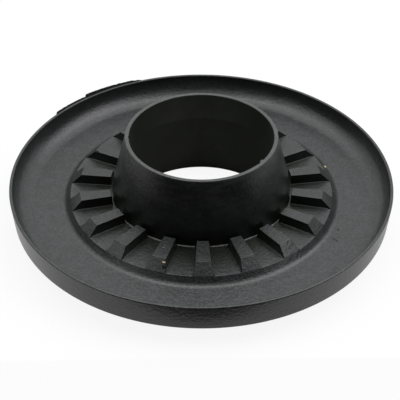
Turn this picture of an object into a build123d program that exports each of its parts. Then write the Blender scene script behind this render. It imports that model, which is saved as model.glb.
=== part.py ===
from build123d import *
from math import atan, degrees, radians, tan
import os

# Coil spring insulator, moulded in one piece of black rubber.
# Millimetres, +Z up the collar. The origin is on the axis, in the plane of the flat underside.
# The radii are worked out from the bore outwards, the heights from the underside upwards.

# Bore, and the collar round it
bore_radius = 33.4
bore_land = 13.7
bore_flare = 3.6
collar_height = 46.0
collar_spread = 6.3
collar_bend_reach = 5.8
collar_base_upright = 0.2
collar_foot_chamfer = 0.8
lip_wall = 1.7
lip_chamfer = 0.4

# Ribs on the raised floor
rib_count = 18
rib_gap = 1.5
rib_length = 14.3
rib_height = 4.6
rib_inner_width = 5.4
rib_outer_width = 6.8
rib_draft = 8.5
rib_end_angle = 45.0
rib_edge_chamfer = 0.3
rib_sink = 1.0

# Disc that the coil stands on, and the step up to the raised floor, which centres the coil
disc_height = 10.6
step_height = 3.5
step_angle = 38.0
step_foot_fillet = 3.2
coil_flat = 14.2

# Outer rim
rim_fillet = 9.2
rim_wall = 1.4
rim_draft = 3.0
rim_land = 1.5
rim_chamfer = 0.5
band_height = 13.1
band_draft = 6.0

# Underside: how far the rim reaches out past the flat seat
seat_inset = 22.0


def lean(height, angle):
    """How far a wall that leans by this many degrees moves sideways over a height."""
    return height * tan(radians(angle))


# Heights worked out from the sizes above
floor_height = disc_height + step_height
rib_top = floor_height + rib_height
rim_height = disc_height + rim_fillet + rim_wall
band_foot_height = rim_height - band_height
collar_bend_height = floor_height + collar_foot_chamfer + collar_base_upright + collar_bend_reach

# Radii worked out from the sizes above
bore_foot_radius = bore_radius + bore_flare
lip_radius = bore_radius + lip_wall
collar_foot_radius = lip_radius + collar_spread
rib_inner_radius = collar_foot_radius + rib_gap
rib_outer_radius = rib_inner_radius + rib_length
floor_radius = rib_outer_radius + lean(rib_height, rib_end_angle)
step_foot_radius = floor_radius + lean(step_height, step_angle)
rim_wall_radius = step_foot_radius + coil_flat + rim_fillet
land_radius = rim_wall_radius + lean(rim_height - disc_height, rim_draft)
rim_radius = land_radius + rim_land
seat_radius = rim_radius - seat_inset


def collar_bend_round():
    """Rounding of the bend between the collar's upright base and its taper."""
    taper = degrees(atan(collar_spread / (collar_height - lip_chamfer - collar_bend_height)))
    return collar_bend_reach / lean(1, taper / 2)


def section_corners():
    """The half section's corners, each as radius, height and rounding, from the bore's foot outwards."""
    underside = [
        (bore_foot_radius, 0, 0),
        (seat_radius, 0, 0),
    ]
    rim = [
        (rim_radius - lean(band_height - rim_chamfer, band_draft), band_foot_height, 0),
        (rim_radius, rim_height - rim_chamfer, 0),
        (rim_radius - rim_chamfer, rim_height, 0),
        (land_radius, rim_height, 0),
        (rim_wall_radius, disc_height, rim_fillet),
    ]
    raised_floor = [
        (step_foot_radius, disc_height, step_foot_fillet),
        (floor_radius, floor_height, 0),
        (collar_foot_radius + collar_foot_chamfer, floor_height, 0),
        (collar_foot_radius, floor_height + collar_foot_chamfer, 0),
    ]
    collar = [
        (collar_foot_radius, collar_bend_height, collar_bend_round()),
        (lip_radius, collar_height - lip_chamfer, 0),
        (lip_radius - lip_chamfer, collar_height, 0),
        (bore_radius, collar_height, 0),
        (bore_radius, collar_height - bore_land, 0),
    ]
    return underside + rim + raised_floor + collar


def body_of_revolution():
    """The rim, disc, raised floor and collar, turned from one section."""
    corners = section_corners()
    outline = FilletPolyline(
        [(radius, height) for radius, height, _ in corners],
        radius=[rounding for _, _, rounding in corners],
        close=True,
    )
    return revolve(Plane.XZ * make_face(outline), Axis.Z)


def rib_ring():
    """The ring that the ribs are cut from: upright inside, and sloping down to the floor's edge."""
    base = floor_height - rib_sink
    corners = [
        (rib_inner_radius, base),
        (floor_radius, base),
        (floor_radius, floor_height),
        (rib_outer_radius, rib_top),
        (rib_inner_radius, rib_top),
    ]
    return revolve(Plane.XZ * make_face(Polyline(corners, close=True)), Axis.Z)


def rib_outline():
    """One rib's plan at its foot, on +X, widening outwards and reaching past both ends of the ring."""
    growth = (rib_outer_width - rib_inner_width) / rib_length
    spread = lean(rib_sink + rib_height, rib_draft)
    inner = collar_foot_radius - spread
    outer = floor_radius + spread
    inner_half = (rib_inner_width - growth * (rib_inner_radius - inner)) / 2 + spread
    outer_half = (rib_outer_width + growth * (outer - rib_outer_radius)) / 2 + spread
    corners = [(inner, -inner_half), (outer, -outer_half), (outer, outer_half), (inner, inner_half)]
    return Plane.XY.offset(floor_height - rib_sink) * make_face(Polyline(corners, close=True))


def rib():
    """One rib on +X: a drafted wedge cut to the ring, with the edges of its top broken."""
    wedge = extrude(rib_outline(), amount=rib_sink + rib_height, taper=rib_draft)
    cut = wedge & rib_ring()
    top_edges = cut.faces().sort_by(Axis.Z)[-1].edges()
    return chamfer(top_edges, rib_edge_chamfer)


def spring_insulator():
    """The whole moulding: the first rib lies on -Y and the others follow round the axis."""
    one_rib = rib()
    ribs = [Rot(0, 0, -90 + 360 * i / rib_count) * one_rib for i in range(rib_count)]
    return body_of_revolution() + ribs


os.makedirs("parts", exist_ok=True)
insulator = spring_insulator()
export_step(insulator, "parts/spring_insulator.step")
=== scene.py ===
import math

import bmesh
import bpy
import numpy as np
from mathutils import Matrix, Vector, noise as lattice


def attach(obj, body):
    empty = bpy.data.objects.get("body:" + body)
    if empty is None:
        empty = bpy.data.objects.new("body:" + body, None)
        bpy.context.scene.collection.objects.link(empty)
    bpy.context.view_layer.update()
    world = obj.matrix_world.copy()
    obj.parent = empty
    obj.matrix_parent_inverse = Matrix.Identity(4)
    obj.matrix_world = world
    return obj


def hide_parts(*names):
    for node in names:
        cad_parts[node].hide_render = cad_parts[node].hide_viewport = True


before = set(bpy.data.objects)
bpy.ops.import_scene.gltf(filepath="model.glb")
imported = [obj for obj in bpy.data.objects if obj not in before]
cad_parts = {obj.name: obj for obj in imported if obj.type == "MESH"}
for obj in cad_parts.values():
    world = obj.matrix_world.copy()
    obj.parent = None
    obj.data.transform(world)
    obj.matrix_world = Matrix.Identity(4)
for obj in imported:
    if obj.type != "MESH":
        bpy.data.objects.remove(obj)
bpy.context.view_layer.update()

# Coil spring insulator in black rubber. Metres, +Z up the collar, the first rib towards -Y.
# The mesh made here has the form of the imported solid, with its small edges rounded.
MM = 0.001

# Bore, and the collar round it
bore_radius = 33.4 * MM
bore_land = 13.7 * MM
bore_flare = 3.6 * MM
collar_height = 46.0 * MM
collar_spread = 6.3 * MM
collar_bend_height = 20.9 * MM
collar_bend_round = 46.0 * MM
lip_wall = 1.7 * MM

# Ribs
rib_count = 18
rib_gap = 1.5 * MM
rib_length = 14.3 * MM
rib_height = 4.6 * MM
rib_inner_width = 5.4 * MM
rib_outer_width = 6.8 * MM
rib_draft = math.radians(8.5)
rib_inner_end_angle = math.radians(1.5)
rib_outer_end_angle = math.radians(45.0)

# Disc, step up to the raised floor, and rim
disc_height = 10.6 * MM
step_height = 3.5 * MM
step_angle = math.radians(38.0)
coil_flat = 14.2 * MM
rim_fillet = 9.2 * MM
rim_wall = 1.4 * MM
rim_draft = math.radians(3.0)
rim_land = 1.5 * MM
band_height = 13.1 * MM
band_draft = math.radians(6.0)
seat_inset = 22.0 * MM

# Small roundings of the section's corners and of the ribs
lip_outer_round = 0.5 * MM
lip_inner_round = 0.4 * MM
collar_foot_round = 0.8 * MM
floor_edge_round = 0.25 * MM
rib_edge_round = 0.25 * MM
rib_foot_round = 0.25 * MM
step_foot_round = 3.2 * MM
land_edge_round = 0.4 * MM
rim_edge_round = 0.5 * MM
band_foot_round = 1.0 * MM
seat_edge_round = 3.0 * MM
bore_foot_round = 0.3 * MM

# Places worked out from the sizes above
floor_height = disc_height + step_height
rib_top = floor_height + rib_height
rim_height = disc_height + rim_fillet + rim_wall
bore_foot_radius = bore_radius + bore_flare
flare_height = collar_height - bore_land
lip_radius = bore_radius + lip_wall
collar_foot_radius = lip_radius + collar_spread
rib_inner_radius = collar_foot_radius + rib_gap
rib_foot_radius = rib_inner_radius - rib_height * math.tan(rib_inner_end_angle)
rib_outer_radius = rib_inner_radius + rib_length
floor_radius = rib_outer_radius + rib_height * math.tan(rib_outer_end_angle)
step_foot_radius = floor_radius + step_height * math.tan(step_angle)
rim_wall_radius = step_foot_radius + coil_flat + rim_fillet
land_radius = rim_wall_radius + (rim_height - disc_height) * math.tan(rim_draft)
rim_radius = land_radius + rim_land
band_foot_radius = rim_radius - band_height * math.tan(band_draft)

# Mesh: the longest step between two rows, and how finely the arcs of the section are divided
longest_row = 2.4 * MM
arc_step = 1.2 * MM
fewest_arc_steps = 3

# Mesh: columns on half a rib and half the gap beside it. They lie at parts of the flat top, at degrees
# round the top's edge, at shares of the height on the wall, at parts of the foot's rounding with their
# shares of the height, and at parts of the gap
top_parts = (0, 0.5, 1)
edge_bends = (30, 60, 90)
wall_shares = (0.62, 0.34)
foot_places = ((0.1, 0.06), (0.4, 0.015), (1, 0))
gap_parts = (0.2, 0.5, 0.8, 1)

# Mesh: how far a rib wall's columns spread where the rib is lower than this share of its height
wall_spread = 0.8 * MM
spread_below = 0.25

# Nicks in the lip: angle from the first rib in degrees, radius, height, reach, push outwards and upwards
nicks = [
    (50.0, 33.5 * MM, collar_height, 0.8 * MM, 0.3 * MM, -0.2 * MM),
    (-89.0, 33.7 * MM, collar_height, 0.9 * MM, 0.35 * MM, -0.3 * MM),
]

# Flash left on the rim's upper edge: angle from the first rib in degrees, and how far it stands up there
flash_steps = [
    (-160.5, 0.0),
    (-157.0, 0.7 * MM),
    (-140.2, 1.4 * MM),
    (-139.9, 0.5 * MM),
    (-127.4, 0.7 * MM),
    (-127.0, 0.0),
]

# Flash: how thick it is, how far it leans out as a share of its height, where its root lies in the rim,
# and how ragged its edge is
flash_wall = 0.25 * MM
flash_lean = 0.3
flash_root_depth = 0.9 * MM
flash_root_inset = 0.05 * MM
flash_columns = 200
ragged_height = 0.2 * MM
ragged_per_degree = 0.9

# Torn bits, grit and crumbs: name, material, angle from the first rib and turn from the tangent in
# degrees, then the place's radius and height and the bit's length, width and thickness, all in mm
bits = [
    ("lip_burr_1", "rubber", 53.0, 8, 33.45, 45.6, (3.0, 1.3, 0.6)),
    ("lip_burr_2", "pale", -131.2, 20, 35.0, 45.5, (0.9, 0.7, 0.6)),
    ("grit_1", "yellow", -17.3, 0, 58.5, 17.3, (1.4, 1.0, 0.9)),
    ("grit_2", "yellow", 109.3, 30, 64.4, 11.4, (1.3, 1.0, 0.8)),
    ("grit_3", "pink", -35.9, 10, 61.4, 14.0, (0.8, 0.6, 0.4)),
    ("grit_4", "white", -20.3, 0, 50.6, 18.75, (0.7, 0.5, 0.3)),
    ("grit_5", "white", 121.1, 0, 56.4, 18.75, (0.6, 0.5, 0.4)),
    ("grit_6", "white", 89.3, 0, 63.0, 13.2, (0.6, 0.5, 0.4)),
    ("grit_7", "white", 48.2, 40, 48.0, 14.15, (0.8, 0.5, 0.3)),
    ("grit_8", "white", 49.8, 0, 41.7, 14.3, (1.6, 0.5, 0.5)),
    ("crumb_1", "black", -116.8, 0, 56.4, 18.7, (1.6, 1.4, 1.3)),
    ("crumb_2", "black", -16.9, 85, 59.6, 15.9, (2.0, 1.5, 2.8)),
    ("crumb_3", "black", -18.5, 5, 54.3, 18.68, (2.0, 0.7, 0.3)),
    ("crumb_4", "black", 67.6, 0, 67.8, 10.65, (1.2, 1.0, 0.4)),
    ("crumb_5", "black", 61.4, 75, 69.0, 10.62, (3.4, 0.7, 0.25)),
]
bit_unevenness = 0.5
bit_lump_count = 3.1

# Torn bits, grit and crumbs: the darker and the paler shade of each material
bit_colours = {
    "yellow": ((0.42, 0.32, 0.13, 1), (0.80, 0.69, 0.42, 1)),
    "pink": ((0.20, 0.12, 0.11, 1), (0.38, 0.26, 0.24, 1)),
    "white": ((0.12, 0.12, 0.12, 1), (0.30, 0.30, 0.30, 1)),
    "black": ((0.001, 0.001, 0.001, 1), (0.004, 0.004, 0.004, 1)),
    "pale": ((0.10, 0.10, 0.10, 1), (0.30, 0.30, 0.29, 1)),
}
bit_roughness = 0.6
bit_grain = 0.5 * MM

# Rubber: its sheen and its fine texture
rubber_index = 1.5
bare_colour = (0.0012, 0.0035, 0.0006, 1)
bare_roughness = 0.33
texture_grain = 1.4 * MM
texture_depth = 0.14 * MM

# Smears: drawn out sideways; their growth from one height up to another is painted light and shade on the
# collar
smear_colour = (0.034, 0.036, 0.033, 1)
smear_roughness = 0.4
smear_size = 5.0 * MM
smear_squeeze = (0.35, 0.35, 1)
smear_edge = (0.44, 0.62)
smear_painted_light_heights = (24.0 * MM, 42.0 * MM)
least_smears_in_painted_shade = 0.15

# Dust: on a slope it thins by this power of how far the slope faces up. On the floor it grows between two
# radii, leaving painted shade by the collar, and on the ribs between two heights. Its clouds and specks
# have a size and a least cover
dust_colour = (0.062, 0.0645, 0.069, 1)
dust_slope_power = 0.7
painted_shade_radii = (48.5 * MM, 61.0 * MM)
dust_rib_heights = (rib_top - 1.7 * MM, rib_top - 0.2 * MM)
dust_on_ribs = 0.78
dust_cloud_size = 5.0 * MM
least_cloud = 0.48
dust_speck_size = 1.1 * MM
least_speck = 0.2

# Lip: a painted highlight along its top, paler between two heights, in patches with a size and a least
# cover
lip_highlight_colour = (0.090, 0.093, 0.092, 1)
lip_highlight_heights = (collar_height - 0.9 * MM, collar_height - 0.3 * MM)
lip_highlight_patch_size = 2.5 * MM
least_lip_highlight_patch = 0.5

# Wall of the bore: painted light makes it paler at the back and front, fading out sideways between two
# distances from the middle, and weaker where the bore flares
bore_dark_colour = (0.019, 0.022, 0.017, 1)
bore_painted_light_colour = (0.078, 0.084, 0.073, 1)
painted_light_fade = (0.3 * bore_radius, 0.9 * bore_radius)
bore_patch_size = 14.0 * MM
least_bore_patch = 0.6
painted_light_heights = (flare_height - 0.4 * MM, flare_height + 0.6 * MM)
painted_light_on_flare = 0.6
bore_roughness = (0.6, 0.7)
bore_specular = 0.12
bore_grain = 0.7 * MM
bore_grain_depth = 0.1 * MM
bore_grain_strength = 0.2

# Noise stays about this far from both 0 and 1, and patches stretch what lies between
noise_margin = 0.3

# White floor and background: how they light the object, and how the camera sees them
floor_reach = 6.0
floor_drop = 0.02 * MM
paper_shade = 0.8
seen_paper_shade = 0.12
seen_glow = 0.9
world_light = 0.05

# Cards that darken what the rubber mirrors, unseen by the camera: name, place, the point that each faces,
# width, height and shade of grey
cards = [
    ("front_card", (0, -2.2, 1.1), (0, 0, 1.1), 6.0, 3.0, 0.01),
    ("front_floor_card", (0, -1.118, 0.001), (0, -1.118, 1), 6.0, 2.04, 0.1),
    ("left_card", (-1.5, -0.3, 0.3), (0, -0.3, 0.3), 1.6, 0.6, 0.01),
    ("right_card", (1.5, -0.3, 0.3), (0, -0.3, 0.3), 1.6, 0.6, 0.01),
]

# Round card that fills the bore's foot, so that the bore's wall doesn't mirror the floor's glow
bore_card_height = 0.1 * MM
bore_card_shade = 0.8
bore_card_corners = 48

# Lamps, which all face the origin: name, place, width, height, how bright the face looks, and colour
lamps = [
    ("overhead", (0, 0.05, 1.7), 2.0, 0.6, 3.1, (1, 1, 1)),
    ("back", (0, 0.75, 1.5), 2.0, 0.9, 1.3, (1, 1, 1)),
    ("right", (1.15, 0.1, 1.35), 1.6, 0.8, 2.75, (1.0, 0.97, 1.05)),
    ("left", (-1.15, 0.1, 1.35), 1.6, 0.8, 0.95, (1, 1, 1)),
]

# Camera, found from the photo's circles
picture_pixels = 400
focal_pixels = 1342.0
sensor_width = 36.0
camera_distance = 0.6395
camera_azimuth = math.radians(-1.0)
camera_elevation = math.radians(38.15)
camera_roll = math.radians(0.22)
aim_point = Vector((-0.58 * MM, 0, 8.12 * MM))


def rounded(corners, closed=False):
    """Points of a line whose corners, each given as radius, height and rounding, are turned into arcs."""
    points = []
    for i, (radius, height, rounding) in enumerate(corners):
        at = Vector((radius, height))
        if rounding == 0 or not (closed or 0 < i < len(corners) - 1):
            points.append(at)
            continue
        before = (Vector(corners[i - 1][:2]) - at).normalized()
        after = (Vector(corners[(i + 1) % len(corners)][:2]) - at).normalized()
        half = before.angle(after) / 2
        centre = at + (before + after).normalized() * rounding / math.sin(half)
        start = at + before * rounding / math.tan(half) - centre
        sweep = math.copysign(math.pi - 2 * half, after.cross(before))
        count = max(fewest_arc_steps, round(abs(sweep) * rounding / arc_step))
        points += [centre + Matrix.Rotation(sweep * k / count, 2) @ start for k in range(count + 1)]
    return points


def rib_line():
    """The ribs' outline along a radius, from the floor beside the collar outwards to the floor's edge."""
    return rounded([
        (collar_foot_radius, floor_height, 0),
        (rib_foot_radius, floor_height, rib_foot_round),
        (rib_inner_radius, rib_top, rib_edge_round),
        (rib_outer_radius, rib_top, rib_edge_round),
        (floor_radius, floor_height, 0),
    ])


def section_line():
    """The half section between two ribs, as a closed line from the bore's foot outwards and back."""
    return rounded([
        (bore_foot_radius, 0, bore_foot_round),
        (rim_radius - seat_inset, 0, seat_edge_round),
        (band_foot_radius, rim_height - band_height, band_foot_round),
        (rim_radius, rim_height, rim_edge_round),
        (land_radius, rim_height, land_edge_round),
        (rim_wall_radius, disc_height, rim_fillet),
        (step_foot_radius, disc_height, step_foot_round),
        (floor_radius, floor_height, floor_edge_round),
        (collar_foot_radius, floor_height, collar_foot_round),
        (collar_foot_radius, collar_bend_height, collar_bend_round),
        (lip_radius, collar_height, lip_outer_round),
        (bore_radius, collar_height, lip_inner_round),
        (bore_radius, flare_height, 0),
    ], closed=True)


def on_raised_floor(radius, height):
    """Whether a point of the section is on the floor between the collar's foot and the step."""
    level = abs(height - floor_height) < floor_edge_round
    return level & (radius > collar_foot_radius) & (radius < floor_radius)


def section_rows(end_margin=0.001):
    """Radius, height and rib height of each row of the mesh, with rows where the ribs' outline bends."""
    rib_radii, rib_heights = np.array(rib_line()).T
    line = section_line()
    rows = []
    for start, end in zip(line, line[1:] + line[:1]):
        pieces = math.ceil((end - start).length / longest_row)
        stops = {piece / pieces for piece in range(pieces)}
        if on_raised_floor(start.x, start.y) and on_raised_floor(end.x, end.y):
            reached = (rib_radii - start.x) / (end.x - start.x)
            stops |= {float(stop) for stop in reached if end_margin < stop < 1 - end_margin}
        rows += [start.lerp(end, stop) for stop in sorted(stops)]
    radii, heights = np.array(rows).T
    rises = np.interp(radii, rib_radii, rib_heights) - floor_height
    return radii, heights, np.where(on_raised_floor(radii, heights), rises, 0)


def rib_columns():
    """Columns on half a rib and half the gap beside it: kind, place across and share of its height."""
    columns = [("top", part, 1) for part in top_parts]
    for bend in map(math.radians, edge_bends):
        drop = rib_edge_round / rib_height * (1 - math.cos(bend))
        columns.append(("wall", rib_edge_round * math.sin(bend), 1 - drop))
    columns += [("wall", rib_edge_round, share) for share in wall_shares]
    columns += [("wall", rib_edge_round + rib_foot_round * part, share) for part, share in foot_places]
    return columns + [("gap", part, 0) for part in gap_parts]


def column_angles(kind, part, share, radii, rises):
    """Angle of one column from the rib's middle, at every row. Low on a rib, its wall's columns spread."""
    reach = np.clip(radii, rib_foot_radius - 2 * rib_foot_round, floor_radius)
    drop = rib_height - share * rises
    growth = (rib_outer_width - rib_inner_width) / rib_length
    half_top = (rib_inner_width + growth * (reach - rib_inner_radius)) / 2 - rib_edge_round
    if kind == "top":
        return np.arcsin(part * (half_top + drop * math.tan(rib_draft)) / reach)
    spread = wall_spread * (1 - share) * np.clip(1 - rises / (spread_below * rib_height), 0, 1)
    return np.arcsin((half_top + part + drop * math.tan(rib_draft) + spread) / reach)


def insulator_grid():
    """The moulding's surface as a closed grid of points, and which of its rows are clear of the ribs."""
    radii, heights, rises = section_rows()
    half_pitch = math.pi / rib_count
    angles, levels = [], []
    for kind, part, share in rib_columns():
        # The gap's columns come last and divide what is left from the rib's foot to the gap's middle.
        if kind == "gap":
            angles.append(foot_angle + (half_pitch - foot_angle) * part)
        else:
            foot_angle = column_angles(kind, part, share, radii, rises)
            angles.append(foot_angle)
        levels.append(heights + share * rises)
    angles = [-angle for angle in angles[:0:-1]] + angles[:-1]
    levels = levels[:0:-1] + levels[:-1]
    turns = np.stack([angle + 2 * half_pitch * k for k in range(rib_count) for angle in angles], axis=1)
    across = radii[:, None] * np.sin(turns)
    along = -radii[:, None] * np.cos(turns)
    points = np.stack([across, along, np.stack(levels * rib_count, axis=1)], axis=2)
    low = rises == 0
    return points, low & np.roll(low, 1) & np.roll(low, -1)


def unit(vectors):
    """The same vectors, each 1 long."""
    return vectors / np.linalg.norm(vectors, axis=-1, keepdims=True)


def face_normals(points):
    """Normal of each of the grid's faces, longer the larger the face."""
    across = np.roll(points, (-1, -1), axis=(0, 1)) - points
    over = np.roll(points, -1, axis=0) - np.roll(points, -1, axis=1)
    normals = np.cross(across, over)
    return normals * np.linalg.norm(normals, axis=2, keepdims=True)


def point_normals(points):
    """Normal at each point. Large faces count most, so that flats beside roundings stay flat."""
    faces = face_normals(points)
    neighbours = [np.roll(faces, shift, axis=(0, 1)) for shift in ((1, 0), (0, 1), (1, 1))]
    return unit(sum(neighbours, faces))


def turned_normals(points, normals):
    """The same normals turned to point exactly along or away from the axis, as on a turned surface."""
    outward = unit(points * (1, 1, 0))
    radial = (normals * outward).sum(axis=2, keepdims=True).mean(axis=1, keepdims=True)
    upward = normals[:, :, 2:].mean(axis=1, keepdims=True)
    return unit(outward * radial + np.array((0, 0, 1)) * upward)


def on_part(angle, radius, height):
    """A point, or a push, given by its angle from the first rib in degrees, its radius and its height."""
    turn = math.radians(angle)
    return np.array((radius * math.sin(turn), -radius * math.cos(turn), height))


def worn(points):
    """The grid with the nicks pushed into its lip."""
    marked = points.copy()
    for angle, radius, height, reach, outward, upward in nicks:
        distance = np.linalg.norm(points - on_part(angle, radius, height), axis=2)
        near = np.exp(-((distance / reach) ** 2))[:, :, None]
        marked += near * on_part(angle, outward, upward)
    return marked


def bore_rows(points, slack=0.1):
    """Which rows of faces are the wall of the bore: those after the lip that lie below its rounding."""
    heights = points[:, 0, 2]
    after_lip = np.arange(heights.size) > heights.argmax()
    return after_lip & (heights < collar_height - (1 - slack) * lip_inner_round)


def grid_faces(rows, columns):
    """The faces of a grid, each as the numbers of its points. The last row and column join the first."""
    corner = np.arange(rows * columns).reshape(rows, columns)
    next_row = np.roll(corner, -1, axis=0)
    next_column = np.roll(corner, -1, axis=1)
    opposite = np.roll(next_row, -1, axis=1)
    return np.stack([corner, next_column, opposite, next_row], axis=2).reshape(-1, 4)


def insulator_mesh():
    """The whole moulding as one closed mesh, with the normals of its true form."""
    points, turned_rows = insulator_grid()
    rows, columns = points.shape[:2]
    normals = point_normals(points)
    normals = np.where(turned_rows[:, None, None], turned_normals(points, normals), normals)
    marked = worn(points)
    normals = unit(normals + point_normals(marked) - point_normals(points))
    mesh = bpy.data.meshes.new("insulator")
    mesh.from_pydata(marked.reshape(-1, 3).tolist(), [], grid_faces(rows, columns).tolist())
    mesh.polygons.foreach_set("material_index", np.repeat(bore_rows(points), columns).astype(int))
    mesh.shade_smooth()
    mesh.normals_split_custom_set_from_vertices(normals.reshape(-1, 3).tolist())
    return mesh


def flash_section(angle, reach):
    """The four corners of the flash's section at one angle: its root's two faces, and its edge's two."""
    root_outer = rim_radius - flash_root_inset
    edge_outer = rim_radius + flash_lean * reach
    section = [
        (root_outer - 2 * flash_wall, rim_height - flash_root_depth),
        (root_outer, rim_height - flash_root_depth),
        (edge_outer, rim_height + reach),
        (edge_outer - flash_wall, rim_height + reach),
    ]
    return [on_part(angle, radius, height) for radius, height in section]


def rim_flash():
    """Thin flash that stands up from the rim's edge at the back left, leans outwards and ends in steps."""
    turns, reaches = np.array(flash_steps).T
    points = []
    for angle in np.linspace(turns[0], turns[-1], flash_columns):
        reach = float(np.interp(angle, turns, reaches))
        ragged = ragged_height * lattice.noise(Vector((ragged_per_degree * float(angle), 0, 0)))
        points += flash_section(angle, reach + ragged * min(1, reach / ragged_height))
    last = len(points) - 4
    faces = [(0, 1, 2, 3), (last + 3, last + 2, last + 1, last)]
    for first in range(0, last, 4):
        for side in range(4):
            along = first + side
            over = first + (side + 1) % 4
            faces.append((over, along, along + 4, over + 4))
    mesh = bpy.data.meshes.new("rim_flash")
    mesh.from_pydata(points, [], faces)
    return mesh


def bit_mesh(name, angle, turn, radius, height, size):
    """An uneven lump that lies on the part, as long, wide and thick as given in millimetres."""
    shape = bmesh.new()
    bmesh.ops.create_icosphere(shape, subdivisions=3, radius=0.5)
    for vertex in shape.verts:
        spot = vertex.co * bit_lump_count + Vector((angle, radius, 0))
        vertex.co *= 1 + bit_unevenness * lattice.noise(spot)
    mesh = bpy.data.meshes.new(name)
    shape.to_mesh(mesh)
    shape.free()
    place = Matrix.Translation(on_part(angle, radius * MM, height * MM))
    turned = Matrix.Rotation(math.radians(angle + turn), 4, "Z")
    mesh.transform(place @ turned @ Matrix.Diagonal([side * MM for side in size] + [1]))
    mesh.shade_smooth()
    return mesh


def flat_mesh(name, outline):
    """One flat face with this outline."""
    mesh = bpy.data.meshes.new(name)
    mesh.from_pydata([(x, y, 0) for x, y in outline], [], [range(len(outline))])
    return mesh


def box_outline(width, height):
    """The corners of a rectangle about the origin."""
    return [(x * width / 2, y * height / 2) for x, y in ((-1, -1), (1, -1), (1, 1), (-1, 1))]


def placed(name, data):
    """A new object in the scene."""
    thing = bpy.data.objects.new(name, data)
    bpy.context.scene.collection.objects.link(thing)
    return thing


def loose_piece(name, mesh, material):
    """A piece that isn't in the CAD model: it rides along with the moulding."""
    piece = placed(name, mesh)
    mesh.materials.append(material)
    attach(piece, "root")
    return piece


def feed(tree, socket, value):
    """Gives a socket its value, or links it where the value is another node's socket."""
    if isinstance(value, bpy.types.NodeSocket):
        tree.links.new(value, socket)
    else:
        socket.default_value = value


def add_node(tree, kind, settings=None, **sockets):
    """A shader node with its settings and its sockets' values. A socket's spaces are written as _."""
    node = tree.nodes.new("ShaderNode" + kind)
    for name, value in (settings or {}).items():
        setattr(node, name, value)
    for name, value in sockets.items():
        feed(tree, node.inputs[name.replace("_", " ")], value)
    return node


def add_surface(tree, kind, **sockets):
    """A shader node that is the material's surface."""
    shader = add_node(tree, kind, **sockets)
    add_node(tree, "OutputMaterial", Surface=shader.outputs["BSDF"])


def empty_material(name):
    """A new material without nodes, and its node tree."""
    material = bpy.data.materials.new(name)
    material.use_nodes = True
    material.node_tree.nodes.clear()
    return material, material.node_tree


def mixed(tree, share, first, second):
    """A colour between two others."""
    mix = add_node(tree, "Mix", {"data_type": "RGBA"})
    feed(tree, mix.inputs[0], share)
    feed(tree, mix.inputs[6], first)
    feed(tree, mix.inputs[7], second)
    return mix.outputs[2]


def ramp(tree, value, start, end, low=0.0, high=1.0):
    """A value that goes from low to high while another goes from start to end."""
    return add_node(
        tree, "MapRange", Value=value, From_Min=start, From_Max=end, To_Min=low, To_Max=high,
    ).outputs["Result"]


def combined(tree, operation, first, second):
    """Two numbers put through one of the maths node's operations, and kept between 0 and 1."""
    node = add_node(tree, "Math", {"operation": operation, "use_clamp": True})
    feed(tree, node.inputs[0], first)
    feed(tree, node.inputs[1], second)
    return node.outputs["Value"]


def scaled(tree, vector, factors):
    """A vector times a fixed factor on each axis."""
    node = add_node(tree, "VectorMath", {"operation": "MULTIPLY"})
    feed(tree, node.inputs[0], vector)
    feed(tree, node.inputs[1], factors)
    return node.outputs["Vector"]


def axis_distance(tree, place):
    """How far a point is from the part's axis."""
    length = add_node(tree, "VectorMath", {"operation": "LENGTH"})
    feed(tree, length.inputs[0], scaled(tree, place, (1, 1, 0)))
    return length.outputs["Value"]


def noise(tree, vector, size, detail, roughness=0.6):
    """Smooth noise whose largest spots are about this size."""
    return add_node(
        tree, "TexNoise", Vector=vector, Scale=1 / size, Detail=detail, Roughness=roughness,
    ).outputs["Fac"]


def patches(tree, place, size, least, detail, roughness):
    """Uneven patches of about this size: 1 where they are fullest, and down to the least between them."""
    return ramp(tree, noise(tree, place, size, detail, roughness), noise_margin, 1 - noise_margin, least)


def dust_and_painted_shade(tree, place):
    """How much dust lies at a point: most on open faces that look up. The bare floor by the collar is
    painted shade.
    """
    normal = add_node(tree, "NewGeometry").outputs["Normal"]
    upward = add_node(tree, "SeparateXYZ", Vector=normal).outputs["Z"]
    height = add_node(tree, "SeparateXYZ", Vector=place).outputs["Z"]
    facing = combined(tree, "POWER", combined(tree, "MAXIMUM", upward, 0.0), dust_slope_power)
    # The floor by the collar's foot is left without dust: painted shade
    floor_clear_of_painted_shade = ramp(tree, axis_distance(tree, place), *painted_shade_radii)
    on_ribs = ramp(tree, height, *dust_rib_heights, 0.0, dust_on_ribs)
    cover = combined(tree, "MULTIPLY", facing, combined(tree, "MAXIMUM", floor_clear_of_painted_shade, on_ribs))
    clouds = patches(tree, place, dust_cloud_size, least_cloud, detail=2.0, roughness=0.8)
    specks = patches(tree, place, dust_speck_size, least_speck, detail=1.0, roughness=0.9)
    return combined(tree, "MULTIPLY", cover, combined(tree, "MULTIPLY", clouds, specks))


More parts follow.
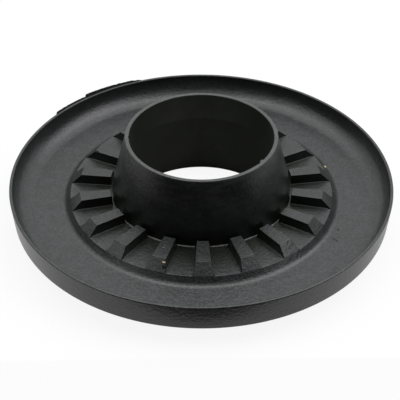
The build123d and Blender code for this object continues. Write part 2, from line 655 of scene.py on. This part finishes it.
def rubber_material():
    """Black rubber: a soft sheen, smears, dust, painted light up the collar and on the lip, and painted
    shade by its foot.
    """
    material, tree = empty_material("black_rubber")
    place = add_node(tree, "TexCoord").outputs["Object"]
    height = add_node(tree, "SeparateXYZ", Vector=place).outputs["Z"]
    squeezed = scaled(tree, place, smear_squeeze)
    streaks = ramp(tree, noise(tree, squeezed, smear_size, detail=5.0, roughness=0.75), *smear_edge)
    # The smears' growth up the collar paints light on its upper part and shade low on it
    smears_and_painted_light = combined(tree, "MULTIPLY", streaks, ramp(tree, height, *smear_painted_light_heights, least_smears_in_painted_shade))
    bare = mixed(tree, smears_and_painted_light, bare_colour, smear_colour)
    dusty_with_painted_shade = mixed(tree, dust_and_painted_shade(tree, place), bare, dust_colour)
    # Painted highlight along the lip's top, in patches
    lip_highlight_patches = patches(tree, place, lip_highlight_patch_size, least_lip_highlight_patch, detail=2.0, roughness=0.8)
    on_lip = ramp(tree, height, *lip_highlight_heights)
    colour = mixed(tree, combined(tree, "MULTIPLY", on_lip, lip_highlight_patches), dusty_with_painted_shade, lip_highlight_colour)
    grain = noise(tree, place, texture_grain, detail=1.0, roughness=0.7)
    bump = add_node(tree, "Bump", Height=grain, Strength=1.0, Distance=texture_depth)
    roughness = ramp(tree, smears_and_painted_light, 0.0, 1.0, bare_roughness, smear_roughness)
    add_surface(
        tree, "BsdfPrincipled", Base_Color=colour, Roughness=roughness, Normal=bump.outputs["Normal"],
        IOR=rubber_index,
    )
    return material


def bore_material():
    """The matt wall of the bore, with uneven painted light at the back and front, palest above the flare.
    """
    material, tree = empty_material("bore_rubber")
    place = add_node(tree, "TexCoord").outputs["Object"]
    position = add_node(tree, "SeparateXYZ", Vector=place)
    cloudy = patches(tree, place, bore_patch_size, least_bore_patch, detail=5.0, roughness=0.7)
    sideways = add_node(tree, "Math", {"operation": "ABSOLUTE"})
    feed(tree, sideways.inputs[0], position.outputs["X"])
    # Painted light: the bore's back and front are paler than its sides, and less so where it flares
    painted_bore_light = ramp(tree, sideways.outputs["Value"], *painted_light_fade, 1.0, 0.0)
    above = ramp(tree, position.outputs["Z"], *painted_light_heights, painted_light_on_flare)
    share = combined(tree, "MULTIPLY", combined(tree, "MULTIPLY", cloudy, painted_bore_light), above)
    colour = mixed(tree, share, bore_dark_colour, bore_painted_light_colour)
    grain = noise(tree, place, bore_grain, detail=3.0)
    bump = add_node(tree, "Bump", Height=grain, Strength=bore_grain_strength, Distance=bore_grain_depth)
    add_surface(
        tree, "BsdfPrincipled", Base_Color=colour, Roughness=ramp(tree, cloudy, 0.0, 1.0, *bore_roughness),
        Normal=bump.outputs["Normal"], IOR=rubber_index, Specular_IOR_Level=bore_specular,
    )
    return material


def bit_material(name):
    """Grit, or a crumb of rubber, uneven in shade."""
    material, tree = empty_material(name + "_grit")
    place = add_node(tree, "TexCoord").outputs["Object"]
    colour = mixed(tree, noise(tree, place, bit_grain, detail=2.0), *bit_colours[name])
    add_surface(tree, "BsdfPrincipled", Base_Color=colour, Roughness=bit_roughness, IOR=rubber_index)
    return material


def seen_directly(tree):
    """1 for rays from the camera, off gloss or through glass, and 0 for the rays that light the object."""
    path = add_node(tree, "LightPath")
    either = combined(tree, "MAXIMUM", path.outputs["Is Camera Ray"], path.outputs["Is Glossy Ray"])
    return combined(tree, "MAXIMUM", either, path.outputs["Is Transmission Ray"])


def white_world():
    """A white background, which lights the object less than it shows."""
    world = bpy.data.worlds.new("white_background")
    bpy.context.scene.world = world
    world.use_nodes = True
    tree = world.node_tree
    tree.nodes.clear()
    level = add_node(tree, "MapRange", Value=seen_directly(tree), To_Min=world_light, To_Max=1.0)
    background = add_node(tree, "Background", Color=(1, 1, 1, 1), Strength=level.outputs["Result"])
    add_node(tree, "OutputWorld", Surface=background.outputs["Background"])


def grey_paper(tree, shade):
    """The shader of matt paper in a shade of grey."""
    return add_node(tree, "BsdfDiffuse", Color=(shade, shade, shade, 1)).outputs["BSDF"]


def white_floor():
    """A white floor that keeps the object's shadow."""
    floor = placed("floor", flat_mesh("floor", box_outline(2 * floor_reach, 2 * floor_reach)))
    floor.location.z = -floor_drop
    material, tree = empty_material("white_paper")
    glow = add_node(tree, "Emission", Color=(1, 1, 1, 1), Strength=seen_glow)
    shown = add_node(tree, "AddShader")
    feed(tree, shown.inputs[0], grey_paper(tree, seen_paper_shade))
    feed(tree, shown.inputs[1], glow.outputs["Emission"])
    surface = add_node(tree, "MixShader", Fac=seen_directly(tree))
    feed(tree, surface.inputs[1], grey_paper(tree, paper_shade))
    feed(tree, surface.inputs[2], shown.outputs["Shader"])
    add_node(tree, "OutputMaterial", Surface=surface.outputs["Shader"])
    floor.data.materials.append(material)


def hidden_card(name, outline, shade):
    """A flat card that the object reflects. The camera doesn't see it, and it casts no shadow."""
    card = placed(name, flat_mesh(name, outline))
    card.visible_camera = False
    card.visible_shadow = False
    material, tree = empty_material(name + "_paper")
    add_node(tree, "OutputMaterial", Surface=grey_paper(tree, shade))
    card.data.materials.append(material)
    return card


def aimed(place, target):
    """The turn of a card or lamp at a place that faces a target."""
    return (Vector(target) - Vector(place)).to_track_quat("-Z", "Y").to_euler()


def bore_card():
    """The round card in the foot of the bore."""
    turns = [2 * math.pi * corner / bore_card_corners for corner in range(bore_card_corners)]
    outline = [(bore_foot_radius * math.cos(turn), bore_foot_radius * math.sin(turn)) for turn in turns]
    card = hidden_card("bore_card", outline, bore_card_shade)
    card.location.z = bore_card_height


def softbox(name, place, width, height, radiance, colour):
    """A rectangular lamp that faces the origin. Its power is worked out from how bright its face looks."""
    light = bpy.data.lights.new(name, "AREA")
    light.shape = "RECTANGLE"
    light.size = width
    light.size_y = height
    light.energy = radiance * width * height * math.pi
    light.color = colour
    lamp = placed(name, light)
    lamp.location = place
    lamp.rotation_euler = aimed(place, (0, 0, 0))


def photo_camera():
    """The photo's camera."""
    data = bpy.data.cameras.new("camera")
    data.sensor_width = sensor_width
    data.lens = focal_pixels * sensor_width / picture_pixels
    data.clip_start = 0.01
    data.clip_end = 50
    camera = placed("camera", data)
    across = math.sin(camera_azimuth) * math.cos(camera_elevation)
    along = -math.cos(camera_azimuth) * math.cos(camera_elevation)
    back = Vector((across, along, math.sin(camera_elevation)))
    turn = (-back).to_track_quat("-Z", "Y").to_matrix() @ Matrix.Rotation(camera_roll, 3, "Z")
    camera.matrix_world = Matrix.Translation(aim_point + back * camera_distance) @ turn.to_4x4()
    bpy.context.scene.camera = camera


rubber = rubber_material()
insulator = placed("insulator_rubber", insulator_mesh())
insulator.data.materials.append(rubber)
insulator.data.materials.append(bore_material())
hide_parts("spring_insulator")
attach(insulator, "root")

loose_piece("rim_flash", rim_flash(), rubber)
bit_materials = {name: bit_material(name) for name in bit_colours} | {"rubber": rubber}
for name, material, angle, turn, radius, height, size in bits:
    bit = loose_piece(name, bit_mesh(name, angle, turn, radius, height, size), bit_materials[material])

white_world()
white_floor()
for name, place, target, width, height, shade in cards:
    card = hidden_card(name, box_outline(width, height), shade)
    card.location = place
    card.rotation_euler = aimed(place, target)
bore_card()
for lamp in lamps:
    softbox(*lamp)
photo_camera()

bpy.context.scene.view_settings.view_transform = "Standard"
